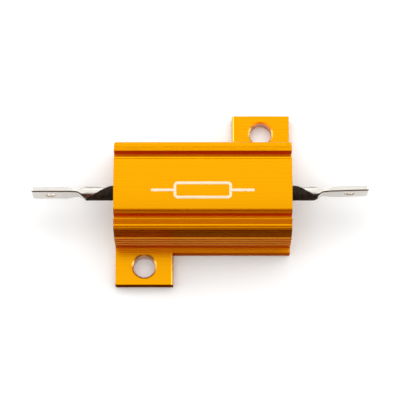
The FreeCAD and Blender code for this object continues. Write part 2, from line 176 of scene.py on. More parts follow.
class TerminalSizes(PropertyGroup):
    blade_length: length("Blade length", "Flattened part, from its neck to the tip", 6.9 * MM)
    blade_thickness: length("Blade thickness", "Thickness of the flattened part", 0.8 * MM)
    neck_thickness: length("Neck thickness", "Thickness where the blade starts", 0.55 * MM)
    neck_length: length("Neck length", "Length over which the pin is pressed flat", 1.6 * MM)
    flare_length: length("Flare length", "Length over which the blade widens", 1.8 * MM)
    edge_radius: length("Edge radius", "Rounding along the blade's edges", 0.24 * MM)
    tip_radius: length("Tip radius", "Rounding of the two corners at the tip", 0.3 * MM)
    eye_radius: length("Eye rim", "Rounding at the rim of the solder eye", 0.12 * MM)
    unevenness: length("Unevenness", "Height of the waves left by the solder dip", 0.012 * MM)
    wave_pitch: length("Wave pitch", "Size of the solder's finer waves", 1.2 * MM)
    wave_depth: length("Wave depth", "Depth of those finer waves", 0.02 * MM)
    grain: length("Grain", "Size of the spots on the darkened part", 0.5 * MM)
    raggedness: length("Raggedness", "How far the solder's edge strays", 0.12 * MM)
    dip_edge: length("Dip edge", "Width over which the solder thins out", 0.2 * MM)
    left_lean: offset("Left lean", "Sideways step of the left blade", 0.03 * MM)
    left_twist: angle("Left twist", "Turn of the left blade about its axis", -3.6)
    right_lean: offset("Right lean", "Sideways step of the right blade", 0.07 * MM)
    right_yaw: angle("Right yaw", "Swing of the right blade", 1.9)
    right_twist: angle("Right twist", "Turn of the right blade about its axis", -1)
    left_dip: offset("Left dip", "Where the solder starts on the left pin's middle", 16.05 * MM)
    right_dip: offset("Right dip", "Where the solder starts on the right pin's middle", 16.3 * MM)
    dip_slant: amount("Dip slant", "Run of the solder's edge along the pin for its width", 1.8)
    tin: colour("Tin", "Dipped part of the terminals", "#EDE9E1")
    # Painted shade: a dark grey line along the punched edges on -Y
    painted_edge_shade: colour("Burr", "Punched edge that the solder leaves thin", "#5A504A")
    root: colour("Root", "Darkened part next to the housing", "#21170F")
    root_gloss: amount("Root gloss", "Specular level of the darkened part", 0.2)
    root_roughness: amount("Root roughness", "Roughness of the darkened part", 0.6)
    root_shade: span("Root shade", "Lightness of that part's spots", 0.5, 2.6)
    tin_shade: span("Tin shade", "Lightness of the solder's waves", 0.94, 1.0)
    tin_roughness: span("Tin roughness", "Roughness of the solder's waves", 0.16, 0.26)


class FillingSizes(PropertyGroup):
    wall_climb: length("Climb at the bore", "Rise of the filling at the bore's wall", 0.14 * MM)
    wall_reach: length("Reach at the bore", "Width of that rise", 0.25 * MM)
    pin_climb: length("Climb at the pin", "Rise of the filling round the pin", 0.24 * MM)
    pin_reach: length("Reach at the pin", "Width of that rise", 0.3 * MM)
    ripple: length("Ripple", "Unevenness of the set surface", 0.02 * MM)
    ripple_run: length("Ripple run", "How far apart those ripples are", 0.4 * MM)
    winding_gap: length("Gap", "Clearance round the winding", 0.02 * MM)
    compound: colour("Compound", "Dark filling", "#24211F")
    grain: length("Grain", "Grain of the filler in the compound", 0.12 * MM)
    grain_depth: length("Grain depth", "Depth of that grain", 0.05 * MM)
    patch: length("Patch", "Size of the compound's paler patches", 0.72 * MM)
    patch_shade: span("Patch shade", "Lightness of those patches", 0.75, 1.3)
    speck_shade: span("Speck shade", "Lightness of the filler's specks", 0.7, 1.6)
    roughness: amount("Roughness", "Roughness of the compound", 0.78)


class ElementFinish(PropertyGroup):
    ceramic: colour("Ceramic", "Unglazed steatite", "#ECE8DD")
    ceramic_grain: length("Ceramic grain", "Chalky grain of the rod", 0.1 * MM)
    ceramic_depth: length("Ceramic depth", "Depth of that grain", 0.01 * MM)
    ceramic_shade: span("Ceramic shade", "Lightness of that grain", 0.9, 1.0)
    ceramic_roughness: amount("Ceramic roughness", "Roughness of the rod", 0.85)
    alloy: colour("Alloy", "Clean resistance ribbon", "#B4ABA0")
    oxide: colour("Oxide", "Where the ribbon has oxidised", "#8E8072")
    rolling_pitch: length("Rolling pitch", "Spacing of the ribbon's rolling lines", 0.06 * MM)
    oxide_size: length("Oxide size", "Size of the oxide's patches", 2 * MM)
    alloy_roughness: span("Alloy roughness", "Roughness across the rolling lines", 0.3, 0.45)
    steel: colour("Steel", "Plated steel of the caps", "#C9C8C4")
    draw_pitch: length("Draw pitch", "Spacing of the caps' draw lines", 0.12 * MM)
    draw_length: length("Draw length", "How far one draw line runs", 5 * MM)
    steel_shade: span("Steel shade", "Lightness of the draw lines", 0.9, 1.0)
    steel_roughness: span("Steel roughness", "Roughness across the draw lines", 0.25, 0.4)
    line_depth: length("Line depth", "Depth of the rolling and draw lines", 0.003 * MM)


class InkSizes(PropertyGroup):
    symbol_length: length("Symbol length", "Printed symbol with its two leads", 15.6 * MM)
    body_length: length("Body length", "Rectangle of the symbol", 8.4 * MM)
    body_height: length("Body height", "Rectangle of the symbol", 2.6 * MM)
    stroke: length("Stroke", "Width of the printed lines", 0.42 * MM)
    ink_height: length("Ink height", "Thickness of the ink", 0.015 * MM)
    centre_y: offset("Centre", "Middle of the symbol across the crown", -1.0 * MM)
    crown_rise: length("Crown rise", "Rise of the top from its edges to its middle", 0.4 * MM)
    crown_half: length("Crown half", "Half of the crowned top's width", 4.05 * MM)
    ink: colour("Ink", "White screen ink", "#F6E4C4")
    thin_ink: colour("Thin ink", "Ink where the metal's lines show through", "#FFD27A")
    line_pitch: length("Line pitch", "Spacing of those lines", 0.2 * MM)
    line_length: length("Line length", "How far one of those lines runs", 1.0 * MM)
    line_depth: length("Line depth", "Depth of those lines in the ink", 0.004 * MM)
    thinning: span("Thinning", "Share of the thin ink off and on those lines", 0.0, 0.3)
    roughness: amount("Roughness", "Roughness of the ink", 0.55)


class StageSizes(PropertyGroup):
    tilt: angle("Tilt", "Camera's angle from straight above, towards -Y", 12.29)
    distance: length("Distance", "Camera to the middle of the view", 346.5 * MM)
    focal_pixels: amount("Focal length", "Focal length in pixels of the picture", 2254.3)
    aim_height: length("Aim height", "Height of the point that the view is centred near", 7 * MM)
    aim_right: offset("Aim right", "Middle of the view from that point", -0.426 * MM)
    aim_up: offset("Aim up", "Middle of the view from that point", -1.01 * MM)
    floor_size: length("Floor", "Side of the square floor", 3.0)
    floor: colour("Floor", "Matt white paper", "#BEBCBC")
    floor_seen: amount("Floor seen", "The floor's lightness where the camera sees it", 1.08)
    floor_mirrored: amount("Floor mirrored", "The floor's lightness in metal", 0.9)
    floor_behind: amount("Floor behind", "Its lightness in metal far behind the object", 1.15)
    # Painted shadow: the floor in front as metal sees it, darker than where the camera sees it
    floor_painted_shadow: colour("Floor in front", "The floor on the camera's side in metal", "#7A6A62")
    # Painted warm bounce from the gold housing on that painted shadow
    floor_painted_bounce: colour("Floor tinted", "That floor where the housing tints it", "#562C1E")
    tinted_half: length("Tinted half", "Half of the tinted floor's length", 14 * MM)
    front_edge: offset("Front edge", "Where the floor in front begins", -15 * MM)
    front_end: offset("Front end", "Where it starts to lighten, until twice as far", -30 * MM)
    floor_blend: length("Floor blend", "Width over which those parts of it blend", 5 * MM)
    far_start: length("Far start", "Where the floor behind starts to lighten", 20 * MM)
    far_end: length("Far end", "Where it is as light as it gets", 60 * MM)
    above: amount("Above", "Light from above", 1.05)
    low: amount("Low", "Light from low down", 0.35)
    key: amount("Key", "Light from overhead on matt surfaces", 2.6)
    key_lean: angle("Key lean", "Lean of that light away from the camera's side", 10)
    shaded: amount("Shaded", "Light from low down on matt surfaces", 0.09)
    strip: amount("Strip", "Brighter strip of light in the back, seen by metal", 1.3)
    back: amount("Back", "Light from low down behind the object", 0.1)
    ends: amount("Ends", "Light from beyond both terminals", 2.5)
    front: colour("Front", "Light from the camera's side", "#9A5F46")
    front_aside: colour("Front aside", "That light to the left and right", "#383634")
    front_low: colour("Front low", "Light from low down on the camera's side", "#D6A078")


def add_node(material, kind, inputs, **settings):
    """Adds one node. inputs gives each socket, by name or number, a value or an output."""
    made = material.node_tree.nodes.new(kind)
    for name, value in settings.items():
        setattr(made, name, value)
    for socket, value in inputs.items():
        if isinstance(value, bpy.types.NodeSocket):
            material.node_tree.links.new(value, made.inputs[socket])
        else:
            made.inputs[socket].default_value = value
    return made


def emptied(holder):
    """A new material or world with an empty node tree."""
    holder.use_nodes = True
    holder.node_tree.nodes.clear()
    return holder


def new_material(name, **constants):
    """Material with one Principled shader, whose constants go straight on its sockets."""
    material = emptied(bpy.data.materials.new(name))
    inputs = {socket.replace("_", " ").title().replace("Ior", "IOR"): value
              for socket, value in constants.items()}
    shader = add_node(material, "ShaderNodeBsdfPrincipled", inputs)
    add_node(material, "ShaderNodeOutputMaterial", {"Surface": shader.outputs[0]})
    return material, shader


def calculate(material, operation, *values):
    """One step of arithmetic."""
    return add_node(material, "ShaderNodeMath", dict(enumerate(values)),
                    operation=operation).outputs[0]


def calculate_vector(material, operation, *values):
    """One step of arithmetic on vectors: the vector it gives, and the value it gives."""
    made = add_node(material, "ShaderNodeVectorMath", dict(enumerate(values)),
                    operation=operation)
    return made.outputs[0], made.outputs[1]


def parts_of(material, vector):
    """X, Y and Z of a vector."""
    return add_node(material, "ShaderNodeSeparateXYZ", {0: vector}).outputs


def coordinates(material, kind):
    """Texture coordinates of one kind."""
    return add_node(material, "ShaderNodeTexCoord", {}).outputs[kind]


def noise(material, cell, detail=2.0, roughness=0.5, turn=(0.0, 0.0, 0.0)):
    """Soft noise between 0 and 1 in Object coordinates, which are turned first.

    cell is the size of its cells in metres, one number or one for each axis.
    """
    place = add_node(material, "ShaderNodeMapping", {
        "Vector": coordinates(material, "Object"), "Rotation": turn,
        "Scale": [1 / size for size in np.broadcast_to(cell, 3).tolist()]})
    made = add_node(material, "ShaderNodeTexNoise", {
        "Vector": place.outputs[0], "Scale": 1.0, "Detail": detail, "Roughness": roughness})
    return made.outputs[0]


def spread(material, value, low=0.0, high=1.0, source=NOISE_RANGE, **settings):
    """Value brought from its source range to low..high, and held there beyond it."""
    made = add_node(material, "ShaderNodeMapRange", {
        0: value, 1: source[0], 2: source[1], 3: low, 4: high}, **settings)
    return made.outputs[0]


def soft_step(material, value, source, low=0.0, high=1.0):
    """Smooth step from low to high as the value goes from the source's start to its end."""
    return spread(material, value, low, high, source, interpolation_type="SMOOTHSTEP")


def tint(material, base, factor):
    """Colour times a grey factor."""
    made = add_node(material, "ShaderNodeVectorMath", {0: base, "Scale": factor},
                    operation="SCALE")
    return made.outputs[0]


def blend_colours(material, factor, *pair):
    """First colour or output where factor is 0, second where it is 1."""
    first, second = (part if isinstance(part, bpy.types.NodeSocket) else (*part, 1.0)
                     for part in pair)
    made = add_node(material, "ShaderNodeMix", {0: factor, 6: first, 7: second},
                    data_type="RGBA")
    return made.outputs[2]


def blend_values(material, factor, first, second):
    """First value where factor is 0, second where it is 1."""
    made = add_node(material, "ShaderNodeMix", {0: factor, 2: first, 3: second})
    return made.outputs[0]


def bump(material, height, depth):
    """Normal of a surface whose height, 0 to 1, is worth depth in metres."""
    made = add_node(material, "ShaderNodeBump", {
        "Height": height, "Strength": 1.0, "Distance": depth})
    return made.outputs[0]


def connect(shader, **sockets):
    """Links outputs to the shader's sockets."""
    for name, output in sockets.items():
        shader.id_data.links.new(output, shader.inputs[name.replace("_", " ").title()])


def in_fixing_hole(material, finish):
    """1 on the walls of both fixing holes, by the distance in plan from their axes."""
    place = calculate_vector(material, "ABSOLUTE", coordinates(material, "Object"))[0]
    place = calculate_vector(material, "MULTIPLY_ADD", place, (1.0, 1.0, 0.0),
                             (-finish.hole_along, -finish.hole_across, 0.0))[0]
    wall = finish.hole_radius + finish.dye_edge
    return spread(material, calculate_vector(material, "LENGTH", place)[1], 1.0, 0.0,
                  (wall, wall + finish.dye_edge))


def on_painted_highlight(material, finish, up):
    """1 where a face below the shoulders leans, as only the small edges and bevels do: the painted
    highlight's mask.
    """
    leaning = calculate(material, "MULTIPLY", spread(material, up, source=OFF_UPRIGHT),
                        spread(material, up, 1.0, 0.0, OFF_LEVEL))
    height = parts_of(material, coordinates(material, "Object"))["Z"]
    below = spread(material, height, 1.0, 0.0,
                   (finish.fin_top, finish.fin_top + finish.highlight_fade))
    return calculate(material, "MULTIPLY", leaning, below)


def anodised_aluminium(finish):
    """Anodised aluminium, dyed gold.

    Light passes the dyed oxide twice, so reflections are gold, and deeper where they are seen at a
    low angle. The small edges of the fins and lugs get a pale gold, a painted highlight, and the
    walls of the drilled holes are bare metal in a pale pink that is partly painted light. The
    extrusion die leaves lines along X, and the saw leaves finer ones on both ends.
    """
    material, shader = new_material("anodised_aluminium", metallic=1.0)
    drawn = noise(material, (finish.line_length, finish.line_pitch, finish.line_pitch))
    sawn = noise(material, (math.inf, finish.line_length, finish.saw_pitch),
                 turn=(finish.saw_slant, 0.0, 0.0))
    normal = add_node(material, "ShaderNodeNewGeometry", {}).outputs["Normal"]
    facing = parts_of(material, calculate_vector(material, "ABSOLUTE", normal)[0])
    lines = blend_values(material, spread(material, facing["X"], source=ON_END), drawn, sawn)
    in_hole = in_fixing_hole(material, finish)
    # Hole walls: bare metal whose pale pink is partly painted light, also used as their reflection
    # tint
    dyed = blend_colours(material, in_hole, finish.gold, finish.hole_wall)
    # Painted highlight: pale gold on the leaning small edges below the shoulders
    dyed = blend_colours(material, on_painted_highlight(material, finish, facing["Z"]), dyed,
                         finish.painted_edge_highlight)
    connect(shader,
            base_color=tint(material, dyed, spread(material, lines, *finish.shade)),
            roughness=spread(material, lines, *finish.roughness),
            specular_tint=blend_colours(material, in_hole, finish.gold_edge, finish.hole_wall),
            normal=bump(material, lines, finish.line_depth))
    return material


def tinned_copper(name, sizes, side, dip):
    """Copper terminal, dipped in solder to a slanting line and dark between it and the housing.

    The solder is a soft bright metal with shallow waves, with a painted shade of grey on the
    punched edges on -Y, and the root is a dull dark film. The line runs where side * x + slant * y
    equals dip.
    """
    material, shader = new_material(name, specular_ior_level=sizes.root_gloss)
    level = calculate_vector(material, "DOT_PRODUCT", coordinates(material, "Object"),
                             (side, sizes.dip_slant, 0.0))[1]
    ragged = noise(material, sizes.grain, detail=3.0, roughness=0.6)
    shift = spread(material, ragged, -sizes.raggedness, sizes.raggedness)
    level = calculate(material, "ADD", level, shift)
    edge = sizes.dip_edge / 2
    dipped = spread(material, level, source=(dip - edge, dip + edge))
    waves = noise(material, sizes.wave_pitch)
    # Grey on the -Y edges: painted shade
    painted_edge_shade = add_node(material, "ShaderNodeAttribute", {}, attribute_name="painted_edge_shade").outputs["Fac"]
    tin = blend_colours(material, painted_edge_shade, sizes.tin, sizes.painted_edge_shade)
    tin = tint(material, tin, spread(material, waves, *sizes.tin_shade))
    root = tint(material, sizes.root, spread(material, ragged, *sizes.root_shade))
    height = blend_values(material, dipped, ragged, waves)
    connect(shader,
            base_color=blend_colours(material, dipped, root, tin),
            metallic=dipped,
            roughness=blend_values(material, dipped, sizes.root_roughness,
                                   spread(material, waves, *sizes.tin_roughness)),
            normal=bump(material, height, sizes.wave_depth))
    return material


def moulding_compound(sizes):
    """Silica filled moulding compound: dull, near black, with a fine grain and paler specks."""
    material, shader = new_material("moulding_compound", roughness=sizes.roughness)
    grains = noise(material, sizes.grain, detail=4.0, roughness=0.65)
    patches = noise(material, sizes.patch)
    shade = calculate(material, "MULTIPLY", spread(material, patches, *sizes.patch_shade),
                      spread(material, grains, *sizes.speck_shade, SPECK_RANGE))
    connect(shader,
            base_color=tint(material, sizes.compound, shade),
            normal=bump(material, grains, sizes.grain_depth))
    return material


def steatite(finish):
    """Unglazed steatite: an off-white ceramic with a chalky grain."""
    material, shader = new_material("steatite", roughness=finish.ceramic_roughness)
    grains = noise(material, finish.ceramic_grain, detail=3.0)
    connect(shader,
            base_color=tint(material, finish.ceramic,
                            spread(material, grains, *finish.ceramic_shade)),
            normal=bump(material, grains, finish.ceramic_depth))
    return material


def resistance_alloy(finish):
    """Rolled resistance ribbon: a warm grey metal with rolling lines and a thin oxide bloom."""
    material, shader = new_material("resistance_alloy", metallic=1.0)
    rolled = noise(material, (finish.rolling_pitch, finish.oxide_size, finish.oxide_size))
    bloom = noise(material, finish.oxide_size)
    connect(shader,
            base_color=blend_colours(material, spread(material, bloom), finish.alloy,
                                     finish.oxide),
            roughness=spread(material, rolled, *finish.alloy_roughness),
            normal=bump(material, rolled, finish.line_depth))
    return material


def cap_steel(finish):
    """Plated steel, deep drawn into a cup: bright grey with draw lines along X."""
    material, shader = new_material("cap_steel", metallic=1.0)
    drawn = noise(material, (finish.draw_length, finish.draw_pitch, finish.draw_pitch))
    connect(shader,
            base_color=tint(material, finish.steel,
                            spread(material, drawn, *finish.steel_shade)),
            roughness=spread(material, drawn, *finish.steel_roughness),
            normal=bump(material, drawn, finish.line_depth))
    return material


def white_ink(sizes):
    """Screen printed epoxy ink: matt white, a little thin where the metal's lines lie under it."""
    material, shader = new_material("white_ink", roughness=sizes.roughness)
    lines = noise(material, (sizes.line_length, sizes.line_pitch, sizes.line_pitch), detail=3.0)
    thin = spread(material, lines, *sizes.thinning, UPPER_RANGE)
    connect(shader,
            base_color=blend_colours(material, thin, sizes.ink, sizes.thin_ink),
            normal=bump(material, lines, sizes.line_depth))
    return material


def dress(material, *nodes):
    """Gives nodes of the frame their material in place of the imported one."""
    for node in nodes:
        mesh = frame["nodes"][node].data
        mesh.materials.clear()
        mesh.materials.append(material)


def mesh_object(name, points, faces):
    """Object at the origin with its place in its mesh."""
    mesh = bpy.data.meshes.new(name)
    mesh.from_pydata(points, [], faces)
    made = bpy.data.objects.new(name, mesh)
    bpy.context.collection.objects.link(made)
    return made


def new_piece(name, points, faces, material, replaced=()):
    """Piece of the visual model, smooth apart from its sharp edges."""
    piece = mesh_object(name, points, faces)
    piece.data.validate()
    piece.data.shade_smooth()
    piece.data.set_sharp_from_angle(angle=SHARP_EDGE)
    piece.data.materials.append(material)
    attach(piece, BODY)
    if replaced:
        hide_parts(*replaced)
    return piece


def strip_faces(rows, columns, round_rows, round_columns):
    """Corner numbers of the quads of a grid, which may close on itself in either direction."""
    row, column = np.meshgrid(np.arange(rows - (not round_rows)),
                              np.arange(columns - (not round_columns)), indexing="ij")
    next_row = (row + 1) % rows
    next_column = (column + 1) % columns
    corners = (row * columns + column, next_row * columns + column,
               next_row * columns + next_column, row * columns + next_column)
    return np.stack([part.ravel() for part in corners], axis=1)


def ease(value, start, end):
    """Smooth step from 0 at start to 1 at end: t * t * (3 - 2 * t)."""
    share = np.clip((value - start) / (end - start), 0.0, 1.0)
    return share * share * (3 - 2 * share)


def rounded_rectangle(half_thickness, half_height, radius):
    """Points round a rectangle with rounded corners, for one station or a column of stations.

    A point is a corner's centre, or a place between two of them, plus the radius times a direction
    that turns once round. With the radius equal to both halves it is a circle.
    """
    turn = np.radians(np.linspace(0, 90, CORNER_POINTS))
    centre, direction = [], []
    for quarter, corner in enumerate(CORNERS):
        side = np.linspace(corner, CORNERS[(quarter + 1) % 4],
                           WIDE_POINTS if quarter % 2 else THIN_POINTS)[1:-1]
        centre += [np.tile(corner, (turn.size, 1)), side]
        direction += [turn + quarter * math.pi / 2,
                      np.full(len(side), (quarter + 1) * math.pi / 2)]
    centre, direction = np.concatenate(centre), np.concatenate(direction)
    across = centre[:, 0] * (half_thickness - radius) + radius * np.cos(direction)
    up = centre[:, 1] * (half_height - radius) + radius * np.sin(direction)
    return across, up


def tube_faces(stations, around):
    """Quads of a tube of closed rings, and one face at each end."""
    quads = strip_faces(stations, around, False, True)[:, ::-1].tolist()
    first = list(range(around))[::-1]
    last = list(range((stations - 1) * around, stations * around))
    return quads + [first, last]


def blade_marks(sizes, reach):
    """Where the neck starts, where the blade starts, where it is wide and where the tip starts."""
    blade_start = reach - sizes.blade_length
    return (blade_start - sizes.neck_length, blade_start, blade_start + sizes.flare_length,
            reach - sizes.tip_radius)


def terminal_section(station, sizes, reach, pin_radius, blade_height):
    """Half thickness, half height and corner radius of a terminal's section at each station.

    The thickness eases from the pin to the neck and from there to the blade, the height from the
    pin to the blade, and at the tip both fall along quarter circles.
    """
    neck_start, blade_start, flare_end, tip_start = blade_marks(sizes, reach)
    pressed = ease(station, neck_start, blade_start)
    flared = ease(station, blade_start, flare_end)
    thickness = (pin_radius + (sizes.neck_thickness / 2 - pin_radius) * pressed
                 + (sizes.blade_thickness - sizes.neck_thickness) / 2 * flared)
    height = pin_radius + (blade_height / 2 - pin_radius) * ease(station, neck_start, flare_end)
    radius = pin_radius + (sizes.edge_radius - pin_radius) * ease(
        station, neck_start, blade_start - sizes.neck_length / 4)
    beyond = np.clip(station - tip_start, 0.0, sizes.tip_radius)
    height -= sizes.tip_radius - np.sqrt(sizes.tip_radius ** 2 - beyond ** 2)
    last = np.clip(station - reach + sizes.edge_radius, 0.0, sizes.edge_radius)
    thickness -= sizes.edge_radius - np.sqrt(sizes.edge_radius ** 2 - last ** 2)
    return thickness, height, np.minimum(radius, np.minimum(thickness, height))


def terminal_blank(sizes, reach, pin_radius, blade_height):
    """Straight terminal before its eye is pierced, from its cap at x = 0 to its tip.

    Every ring is the rounded rectangle of its station.
    """
    neck_start, _, flare_end, tip_start = blade_marks(sizes, reach)
    tip_turn = np.radians(np.linspace(0, 90, TIP_POINTS))
    station = np.concatenate([
        np.linspace(0, neck_start, PIN_POINTS)[:-1],
        np.linspace(neck_start, flare_end, NECK_POINTS)[:-1],
        np.linspace(flare_end, tip_start, BLADE_POINTS)[:-1],
        tip_start + sizes.tip_radius * np.sin(tip_turn),
    ])[:, None]
    across, up = rounded_rectangle(
        *terminal_section(station, sizes, reach, pin_radius, blade_height))
    points = np.stack([np.broadcast_to(station, across.shape), across, up], axis=-1)
    return points.reshape(-1, 3), tube_faces(*across.shape)


def painted_edge_shade_share(points, sizes, reach, pin_radius, blade_height):
    """How far each point is in the middle of a punched edge's painted shade: 1 there, 0 on the
    faces.

    It falls with the larger distance to the section's two sides, as a share of the corner's radius.
    Only the edges on -Y get the painted shade.
    """
    thickness, height, radius = terminal_section(points[:, 0], sizes, reach, pin_radius,
                                                 blade_height)
    inward = np.maximum(thickness + points[:, 1], height - np.abs(points[:, 2]))
    return 1 - ease(inward / np.maximum(radius, MM / 1000), EDGE_SHADE_HELD, 1.0)


def eye_cutter(sizes, eye_x, eye_radius):
    """Plug that pierces the eye along Y and flares by a quarter circle at both faces."""
    rim = sizes.eye_radius
    half = sizes.blade_thickness / 2
    turn = np.radians(np.linspace(0, 90, CORNER_POINTS))
    flare = eye_radius + rim * (1 - np.cos(turn))
    depth = half - rim + rim * np.sin(turn)
    past = half + rim
    across = np.concatenate([[-past], -depth[::-1], depth, [past]])[:, None]
    ring = np.concatenate([[flare[-1]], flare[::-1], flare, [flare[-1]]])[:, None]
    spin = np.linspace(0, 2 * math.pi, EYE_POINTS, endpoint=False)
    points = np.stack([eye_x + ring * np.sin(spin), across + 0 * spin, ring * np.cos(spin)],
                      axis=-1)
    return points.reshape(-1, 3), tube_faces(ring.size, spin.size)


def pierced(blank, plug):
    """Mesh of the blank with the plug cut out of it."""
    objects = [mesh_object("blank", *blank), mesh_object("plug", *plug)]
    cut = objects[0].modifiers.new("eye", "BOOLEAN")
    cut.operation = "DIFFERENCE"
    cut.solver = "EXACT"
    cut.object = objects[1]
    evaluated = objects[0].evaluated_get(bpy.context.evaluated_depsgraph_get())
    mesh = bpy.data.meshes.new_from_object(evaluated)
    for item in objects:
        bpy.data.objects.remove(item)
    points = np.empty(len(mesh.vertices) * 3)
    mesh.vertices.foreach_get("co", points)
    faces = [list(polygon.vertices) for polygon in mesh.polygons]
    bpy.data.meshes.remove(mesh)
    return points.reshape(-1, 3), faces


def solder_waves(points, height):
    """Shallow waves of the dipped surface: three sine waves that cross at odd angles."""
    return height * np.sin(points @ SOLDER_WAVES.T + np.arange(3)).sum(axis=1) / 3


def make_terminal(name, sizes, side, lean, yaw, twist, dip):
    """One terminal: blank, eye, waves, then the small bends it got in handling.

    From the neck on it twists about its own axis and swings towards the far side, both eased in
    over the neck. lean is the swing's sideways step and yaw its angle.
    """
    low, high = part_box(name)
    reach = high.x - low.x
    pin_radius = (high.y - low.y) / 2
    blade_height = high.z - low.z
    start = low.x if side > 0 else high.x
    eye = mount(name.replace("terminal", "solder_eye"))
    eye_x = abs(eye["pos_m"][0] - start)
    points, faces = pierced(terminal_blank(sizes, reach, pin_radius, blade_height),
                            eye_cutter(sizes, eye_x, eye["dims"]["r_mm"] * MM))
    # Painted shade along the punched edges on -Y, kept as a point attribute
    painted_edge_shade = painted_edge_shade_share(points, sizes, reach, pin_radius, blade_height)
    neck = blade_marks(sizes, reach)[0]
    bent = ease(points[:, 0], neck, neck + 2 * sizes.neck_length)
    points[:, 1] += np.sign(points[:, 1]) * solder_waves(points, sizes.unevenness) * bent
    turn = twist * bent
    across = points[:, 1] * np.cos(turn) - points[:, 2] * np.sin(turn)
    up = points[:, 1] * np.sin(turn) + points[:, 2] * np.cos(turn)
    across += lean * bent + np.clip(points[:, 0] - neck, 0.0, None) * np.tan(yaw) * bent
    placed = np.stack([start + side * points[:, 0], across, up + (low.z + high.z) / 2], axis=1)
    if side < 0:
        faces = [face[::-1] for face in faces]
    material = tinned_copper(f"tinned_copper_{name}", sizes, side, dip)
    piece = new_piece(f"{name}_tinned", placed, faces, material, (name, ))
    piece.data.attributes.new("painted_edge_shade", "FLOAT", "POINT").data.foreach_set("value", painted_edge_shade)


def filling_surface(sizes):
    """The filling as one closed surface turned about the bore's axis.

    The outline runs out over one end, along the bore, in over the other end and back round the
    element. On the ends the surface climbs at the bore and at the pin by exponentials of the
    distance from them, and ripples by products of sines.
    """
    low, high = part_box("moulding_compound")
    cap_low, cap_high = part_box("end_cap_left")[0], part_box("end_cap_right")[1]
    pin_low, pin_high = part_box("terminal_left")
    winding_low, winding_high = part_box("resistance_winding")
    bore = (high.z - low.z) / 2
    axis = (high.z + low.z) / 2
    pin = (pin_high.y - pin_low.y) / 2
    cap = (cap_high.z - cap_low.z) / 2
    winding = (winding_high.y - winding_low.y) / 2 + sizes.winding_gap
    left_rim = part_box("end_cap_left")[1].x
    right_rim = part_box("end_cap_right")[0].x
    face = pin + (bore - pin) * np.linspace(0, 1, FACE_POINTS)
    wall = np.linspace(low.x, high.x, WALL_POINTS)[1:-1]
    ends = np.ones(face.size)
    cavity_along = [cap_high.x, cap_high.x, right_rim, right_rim,
                    left_rim, left_rim, cap_low.x, cap_low.x]
    cavity_ring = [pin, cap, cap, winding, winding, cap, cap, pin]
    along = np.concatenate([ends * low.x, wall, ends * high.x, cavity_along])[:, None]
    ring = np.concatenate([face, np.full(wall.size, bore), face[::-1], cavity_ring])[:, None]
    on_end = np.concatenate([-ends, 0 * wall, ends, np.zeros(len(cavity_ring))])[:, None]
    spin = np.linspace(0, 2 * math.pi, TURN_POINTS, endpoint=False)
    climb = (sizes.wall_climb * np.exp(-(bore - ring) / sizes.wall_reach)
             + sizes.pin_climb * np.exp(-(ring - pin) / sizes.pin_reach))
    run = ring / sizes.ripple_run
    first, second = RIPPLE_WAVES
    ripple = sizes.ripple * (np.sin(first * spin + 1) * np.sin(run) + SECOND_RIPPLE
                             * np.sin(second * spin) * np.cos(SECOND_RIPPLE * run))
    points = np.stack([along + on_end * (climb + ripple), ring * np.sin(spin),
                       axis + ring * np.cos(spin)], axis=-1)
    return points.reshape(-1, 3), strip_faces(ring.size, spin.size, True, True)


def crown_height(across, sizes):
    """Height of the crowned top: the arc through its two edges and its middle."""
    radius = (sizes.crown_half ** 2 + sizes.crown_rise ** 2) / (2 * sizes.crown_rise)
    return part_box("housing")[1].z - radius + np.sqrt(radius ** 2 - across ** 2)


def inked_line(path, closed, sizes):
    """Printed line: a low rounded section carried along a path on the crown.

    The section is square to the path in plan, and its height is added to the crown's.
    """
    if closed:
        heading = np.roll(path, -1, axis=0) - np.roll(path, 1, axis=0)
    else:
        heading = np.gradient(path, axis=0)
    heading /= np.linalg.norm(heading, axis=1)[:, None]
    sideways = np.stack([-heading[:, 1], heading[:, 0]], axis=1)
    half = sizes.stroke / 2
    shoulder = half - sizes.ink_height
    # Across the line, and up in thicknesses of the ink, from just inside the metal
    section = np.array([[-half, -1.0], [-half, 0.2], [-shoulder, 1.0], [0.0, 1.1],
                        [shoulder, 1.0], [half, 0.2], [half, -1.0]])
    spots = path[:, None, :] + section[None, :, :1] * sideways[:, None, :]
    height = crown_height(spots[..., 1], sizes) + section[:, 1] * sizes.ink_height
    points = np.concatenate([spots, height[..., None]], axis=-1).reshape(-1, 3)
    if closed:
        return points, strip_faces(len(path), len(section), True, True).tolist()
    return points, [face[::-1] for face in tube_faces(len(path), len(section))]


def symbol_lines(sizes):
    """Paths of a plain resistor symbol: a rectangle with rounded corners and two leads."""
    corner = sizes.stroke
    half_length = sizes.body_length / 2
    half_height = sizes.body_height / 2 - sizes.stroke / 2
    turn = np.radians(np.linspace(0, 90, BOW_POINTS))
    frame_path = []
    for quarter, (sign_x, sign_y) in enumerate(CORNERS):
        bow = turn + quarter * math.pi / 2
        frame_path.append(np.stack([
            sign_x * (half_length - corner) + corner * np.cos(bow),
            sign_y * (half_height - corner) + corner * np.sin(bow)], axis=1))
    frame_path = np.concatenate(frame_path)
    run = np.linspace(half_length, sizes.symbol_length / 2, LEAD_POINTS)
    leads = [np.stack([side * run, np.zeros(LEAD_POINTS)], axis=1) for side in (-1, 1)]
    return frame_path, leads


class RESISTOR_OT_housing(Operator):
    """Gives the extruded housing its anodised finish"""
    bl_idname = "resistor.housing"
    bl_label = "Finish housing"

    def execute(self, context):
        dress(anodised_aluminium(context.scene.resistor_housing), "housing")
        return {"FINISHED"}


